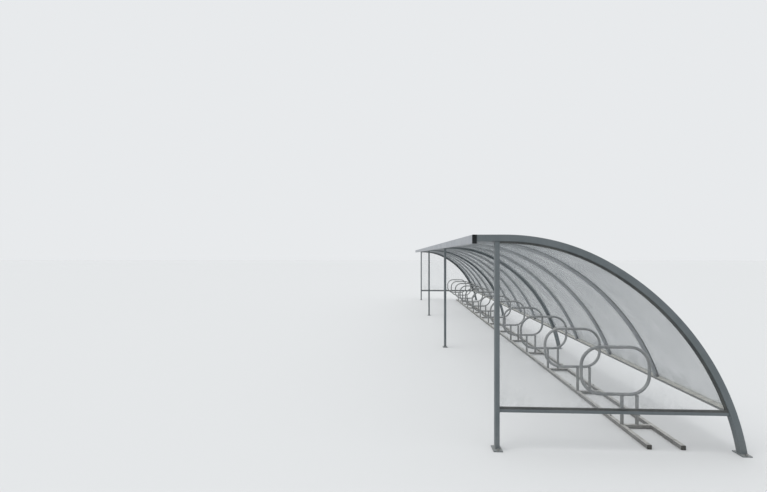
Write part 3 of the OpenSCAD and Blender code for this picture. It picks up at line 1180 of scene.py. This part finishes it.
@dataclass
class RoofGlazing(SubAssembly):
    """Bars, ledges, cover strips and curved sheets, with sealing lips and screws."""

    bar_w: float = 0.050
    bar_d: float = 0.030
    stem_w: float = 0.010
    ledge_leg: float = 0.020
    ledge_t: float = 0.003
    gap: float = 0.002
    sheet_t: float = 0.005
    sheet_edge: float = 0.0006
    inset: float = 0.020
    strip_t: float = 0.004
    strip_edge: float = 0.0008
    worked_angle: float = 60.0
    lip: float = 0.003
    screw_r: float = 0.0085
    screw_step: float = 0.30
    screw_margin: float = 0.09
    cleat_leg: float = 0.028
    cleat_h: float = 0.022
    cleat_t: float = 0.003
    cleat_screw_r: float = 0.0055

    def build(self) -> None:
        """Builds everything that lies along the roof's curve."""
        for step in (self.bars, self.ledges, self.strips, self.sheets, self.lips, self.screws,
                     self.cleats):
            step()

    def half_edge(self, index: int) -> float:
        """Half of what stands between two sheets at rib or bar number `index`."""
        return (self.stem_w if index % self.bays_per_frame else self.rib_w) / 2 + self.gap

    def between(self) -> list[int]:
        """Numbers of the glazing bars among ribs and bars, from 0."""
        return [index for index in range(self.bays + 1) if index % self.bays_per_frame]

    def strip(self, y: float, width: float, top: float, thickness: float) -> Piece:
        """A flat bar from the front beam to the rear rail, `top` inside the ribs' outer face."""
        return self.curve.sweep(self.beam_d, self.rail_angle, top, thickness, y, width)

    def bars(self) -> None:
        """The bent glazing bars, hollow sections with round corners."""
        for number, index in enumerate(self.between(), 1):
            bar = self.curve.bent_tube(
                self.beam_d, self.rail_angle, self.inset + self.sheet_t, self.bar_d,
                self.line_y(index), self.bar_w, self.corner_r)
            self.shop.hand_over(f"bent_bar_{number}", bar, Finish.BAR, f"glazing_bar_{number}")

    def ledges(self) -> None:
        """Angles on the ribs' sides under the sheets' edges, a flat leg over an upright one."""
        top, half_t = self.inset + self.sheet_t, self.ledge_t / 2
        legs = []
        for index in range(0, self.bays + 1, self.bays_per_frame):
            for side in self.sides(index):
                face = self.line_y(index) + side * self.rib_w / 2
                legs.append(self.strip(
                    face + side * self.ledge_leg / 2, self.ledge_leg, top, self.ledge_t))
                legs.append(self.strip(
                    face + side * half_t, self.ledge_t, top + half_t, self.ledge_leg - half_t))
        self.assemble("sheet_ledges", legs, Finish.FRAME, "rib_ledges", shade=SOFT_EDGE)

    def strips(self) -> None:
        """Cover strips over the bars, each with a stem down between the sheets' edges."""
        half_t = self.strip_t / 2
        made = []
        for y in map(self.line_y, self.between()):
            flat = self.strip(y, self.bar_w, self.inset - self.strip_t, self.strip_t)
            Bench.chamfer(flat, self.strip_edge, angle=self.worked_angle)
            made += [flat, self.strip(y, self.stem_w, self.inset - half_t, self.sheet_t + half_t)]
        self.assemble("joint_strips", made, Finish.BAR, "cover_strips", shade=SOFT_EDGE)

    def sheets(self) -> None:
        """One curved sheet a bay, each in the place of its node."""
        end = self.rail_angle - self.gap / self.curve.rear_r
        for bay in range(self.bays):
            number = bay + 1
            low = self.line_y(bay) + self.half_edge(bay)
            high = self.line_y(number) - self.half_edge(number)
            sheet = self.curve.sweep(self.beam_d + self.gap, end, self.inset, self.sheet_t,
                                     (low + high) / 2, high - low)
            Bench.chamfer(sheet, self.sheet_edge, angle=self.worked_angle)
            Bench.smooth(sheet)
            self.shop.hand_over(
                f"acrylic_sheet_{number}", sheet, Finish.SHEET, f"roof_sheet_{number}")

    def lips(self) -> None:
        """Black sealing lips along both edges of each cover strip, and beads beside the ribs."""
        strip_lips, rib_beads = [], []
        for index in range(self.bays + 1):
            at_rib = index % self.bays_per_frame == 0
            reach = (self.rib_w if at_rib else self.bar_w) / 2 + self.lip / 2
            for side in self.sides(index):
                y = self.line_y(index) + side * reach
                lip = self.strip(y, self.lip, self.inset - self.lip, self.lip)
                (rib_beads if at_rib else strip_lips).append(lip)
        self.assemble("strip_lips", strip_lips, Finish.SEAL)
        self.assemble("rib_sealing_beads", rib_beads, Finish.SEAL)

    def screws(self) -> None:
        """Screws through the cover strips, evenly spaced down the roof."""
        first = self.beam_d + self.screw_margin
        run = self.curve.length_at(self.rail_angle) - self.screw_margin - first
        count = round(run / self.screw_step)
        step, top = run / count, self.inset - self.strip_t
        for index in self.between():
            y = self.line_y(index)
            places = [self.curve.place(first + step * n, top, y) for n in range(count + 1)]
            screws = Bench.copies(Fasteners.screw(self.screw_r), places)
            self.assemble(f"strip_screws_{index}", screws, Finish.ZINC, shade=SOFT_EDGE)

    def cleats(self) -> None:
        """Angles on both sides of each bar's two ends, which hold it to the beam and the rail."""
        rail = self.curve.length_at(self.rail_angle)
        inset = self.inset + self.sheet_t + self.bar_d / 2
        places = []
        for index in self.between():
            for length, turned in ((self.beam_d, 0.0), (rail, math.pi)):
                for side in (-1, 1):
                    y = self.line_y(index) + side * self.bar_w / 2
                    at = self.curve.place(length, inset, y) @ Matrix.Rotation(turned, 4, "Z")
                    flip = math.pi if (side < 0) != (turned > 0) else 0.0
                    places.append(at @ Matrix.Rotation(flip, 4, "X"))
        model = Fasteners.cleat(self.cleat_leg, self.cleat_h, self.cleat_t, self.cleat_screw_r)
        self.assemble("bar_cleats", Bench.copies(model, places), Finish.ZINC, shade=SOFT_EDGE)


@dataclass
class Gables(SubAssembly):
    """The clear end panels in their rubber frames."""

    def build(self) -> None:
        """Dresses the panels and seals."""
        self.dress(Finish.PANE, "near_gable_panel", "far_gable_panel")
        self.dress(Finish.SEAL, "gable_seals")


@dataclass
class BikeRack(SubAssembly):
    """Ground rails, ties and hoops, with weld beads and rail bolts."""

    rail_w: float = 0.040
    tube_r: float = 0.016
    tube_sides: int = 32
    tube_shade: float = 60.0
    bend_r: float = 0.190
    bend_steps: int = 16
    bead_r: float = 0.003
    bead_sunk: float = 0.2
    bead_lift: float = 0.001
    bead_steps: int = 20
    bead_sides: int = 6
    nut_r: float = 0.009
    stud_r: float = 0.005
    bolt_offset: float = 0.26

    def build(self) -> None:
        """Dresses the rack's nodes and adds hoops, legs, weld beads and bolts."""
        self.dress(Finish.RACK, "rack_front_rail", "rack_rear_rail", "rack_ties")
        self.hoops()
        self.legs()
        self.beads()
        self.bolts()

    @property
    def rows(self) -> list[float]:
        """Places of the hoops along the row, in the middle of each bay."""
        return [self.line_y(bay + 0.5) for bay in range(self.bays)]

    def leg_places(self, *heights: float) -> list[Matrix]:
        """Places on the axis of every leg, at each of the given heights."""
        low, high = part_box("hoop_legs")
        return [spot(x, y, z) for x in (low.x + self.tube_r, high.x - self.tube_r)
                for y in self.rows for z in heights]

    def hoops(self) -> None:
        """Closed loops of round tube, drawn once round their four bends and copied."""
        low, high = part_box("parking_hoops")
        size = high - low
        wide = size.x / 2 - self.tube_r - self.bend_r
        tall = size.z / 2 - self.tube_r - self.bend_r
        Bench.clear()
        bpy.ops.mesh.primitive_circle_add(
            vertices=self.tube_sides, radius=self.tube_r, fill_type="NOTHING",
            location=(-wide, 0.0, -tall - self.bend_r), rotation=(0.0, QUARTER, 0.0))
        loop = Bench.started()
        steps: list[Step] = [lambda: bpy.ops.mesh.select_all(action="SELECT")]
        for move, centre in (
                ((2 * wide, 0, 0), (wide, 0, -tall)), ((0, 0, 2 * tall), (wide, 0, tall)),
                ((-2 * wide, 0, 0), (-wide, 0, tall)), ((0, 0, -2 * tall), (-wide, 0, -tall))):
            steps += [Steps.extrude(move), Steps.spin(self.bend_steps, QUARTER, centre)]
        Bench.edit(loop, *steps, pick=Pick.EDGE)
        Bench.heal(loop)
        centre = (low + high) / 2
        hoops = Bench.copies(loop, [spot(centre.x, y, centre.z) for y in self.rows])
        self.assemble("lean_hoops", hoops, Finish.ZINC, "parking_hoops", shade=self.tube_shade)

    def legs(self) -> None:
        """Two round legs under each hoop, from the rail and the tie up into the hoop's tube."""
        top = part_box("parking_hoops")[0].z + self.tube_r / 2
        leg = Bench.round_bar(self.tube_r, self.rail_w, top - self.rail_w, self.tube_sides)
        legs = Bench.copies(leg, self.leg_places(0.0))
        self.assemble("hoop_stands", legs, Finish.ZINC, "hoop_legs", shade=SOFT_EDGE)

    def beads(self) -> None:
        """Round weld beads at both ends of every hoop leg."""
        Bench.clear()
        bpy.ops.mesh.primitive_torus_add(
            major_radius=self.tube_r + self.bead_sunk * self.bead_r, minor_radius=self.bead_r,
            major_segments=self.bead_steps, minor_segments=self.bead_sides)
        bead = Bench.started()
        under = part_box("parking_hoops")[0].z
        places = self.leg_places(self.rail_w + self.bead_lift, under + self.bead_lift)
        beads = Bench.copies(bead, places)
        self.assemble("hoop_welds", beads, Finish.ZINC, shade=self.tube_shade)

    def bolts(self) -> None:
        """Bolts that hold the ground rails down, two a bay."""
        places = [spot(middle(node).x, y + self.bolt_offset, self.rail_w)
                  for node in ("rack_front_rail", "rack_rear_rail") for y in self.rows]
        bolts = Bench.copies(Fasteners.nut_on_washer(self.nut_r, self.stud_r), places)
        self.assemble("rail_bolts", bolts, Finish.ZINC, shade=SOFT_EDGE)


# ---------------------------------------------------------------- the studio

@dataclass
class Studio:
    """A pale floor, a pale backdrop, soft light, and the camera at the photograph's angle."""

    image_w: int = 767
    image_h: int = 492
    focal_px: float = 500.0
    axis_px: tuple[float, float] = (371.0, 255.05)
    yaw: float = math.radians(3.15)
    from_post: float = -0.865
    from_near_face: float = 4.43
    eye_z: float = 1.71
    sensor: float = 36.0
    sight: float = 500.0
    floor_half: float = 150.0
    floor_z: float = -0.0005
    floor_rough: float = 0.85
    floor_colour: Triple = (0.63, 0.63, 0.62)
    floor_bounce: Triple = (0.60, 0.60, 0.59)
    sky_colour: Triple = (0.93, 0.96, 1.0)
    zenith_light: float = 1.25
    horizon_light: float = 0.45
    backdrop_colour: Triple = (0.96, 0.98, 1.0)
    backdrop: float = 0.84
    sun: float = 1.1
    sun_spread: float = math.radians(50.0)
    sun_from: Triple = (-0.50, -0.20, 0.84)

    def build(self) -> None:
        """Sets up the camera, the floor, the world and the lamp."""
        bpy.context.scene.view_settings.view_transform = "Standard"
        self.camera()
        self.floor()
        self.world()
        self.lamp()

    def camera(self) -> None:
        """Puts the camera where the photograph was taken from."""
        data = bpy.data.cameras.new("camera")
        data.sensor_fit = "HORIZONTAL"
        data.sensor_width = self.sensor
        data.lens = self.focal_px / self.image_w * self.sensor
        data.shift_x = (self.image_w / 2 - self.axis_px[0]) / self.image_w
        data.shift_y = (self.axis_px[1] - self.image_h / 2) / self.image_w
        data.clip_end = self.sight
        made = bpy.data.objects.new("camera", data)
        near_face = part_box("main_rib_1")[0].y
        made.location = (middle("front_post_1").x + self.from_post,
                         near_face - self.from_near_face, self.eye_z)
        made.rotation_euler = (QUARTER, 0.0, self.yaw)
        bpy.context.scene.collection.objects.link(made)
        bpy.context.scene.camera = made

    def floor(self) -> None:
        """A wide pale floor that keeps the shelter's shadow."""
        Bench.clear()
        bpy.ops.mesh.primitive_plane_add(size=2 * self.floor_half, location=(0, 0, self.floor_z))
        floor = Bench.started()
        floor.name = "studio_floor"
        made, board, shader = Board.material(floor.name)
        colour = board.mix(self.seen(board), self.floor_bounce, self.floor_colour)
        board.feed(shader, {"Base Color": colour, "Roughness": self.floor_rough})
        floor.data.materials.append(made)

    @staticmethod
    def seen(board: Board) -> Socket:
        """A mask of the rays that look straight at the studio, or at it in a reflection.

        Args:
            board: the board that asks.

        Returns:
            The mask's socket.
        """
        path = board.node("ShaderNodeLightPath").outputs
        direct = board.maths(Sum.LARGER, path["Is Camera Ray"], path["Is Glossy Ray"])
        return board.maths(Sum.LARGER, direct, path["Is Transmission Ray"])

    def world(self) -> None:
        """Soft light, stronger from above, and a pale backdrop for what looks straight at it."""
        made = bpy.data.worlds.new("studio")
        made.use_nodes = True
        made.node_tree.nodes.clear()
        bpy.context.scene.world = made
        board = Board(made.node_tree)
        height = board.upward(board.node("ShaderNodeTexCoord").outputs["Generated"])
        dome = board.ramp(height, 0.0, 1.0, self.horizon_light, self.zenith_light)
        light = board.node(
            "ShaderNodeBackground", {"Color": (*self.sky_colour, 1.0), "Strength": dome})
        drop = board.node("ShaderNodeBackground", {
            "Color": (*self.backdrop_colour, 1.0), "Strength": self.backdrop})
        both = board.node("ShaderNodeMixShader", {
            0: self.seen(board), 1: light.outputs[0], 2: drop.outputs[0]})
        board.node("ShaderNodeOutputWorld", {0: both.outputs[0]})

    def lamp(self) -> None:
        """One very soft lamp, high on the open side."""
        data = bpy.data.lights.new("softbox", "SUN")
        data.energy = self.sun
        data.angle = self.sun_spread
        lamp = bpy.data.objects.new("softbox", data)
        lamp.rotation_euler = Vector(self.sun_from).to_track_quat("Z", "Y").to_euler()
        bpy.context.scene.collection.objects.link(lamp)


def main() -> None:
    """Builds the looks round the frame."""
    logging.basicConfig(level=logging.INFO, format="%(name)s: %(message)s")
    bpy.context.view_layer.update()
    shop = Paintshop()
    curve = RoofCurve(tip_x=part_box("front_beams")[0].x)
    for kind in (MainFrames, LongBeams, RoofGlazing, Gables, BikeRack):
        kind(shop, curve).build()
        LOG.info("%s is built", kind.__name__)
    Studio().build()


if __name__ == "__main__":
    main()
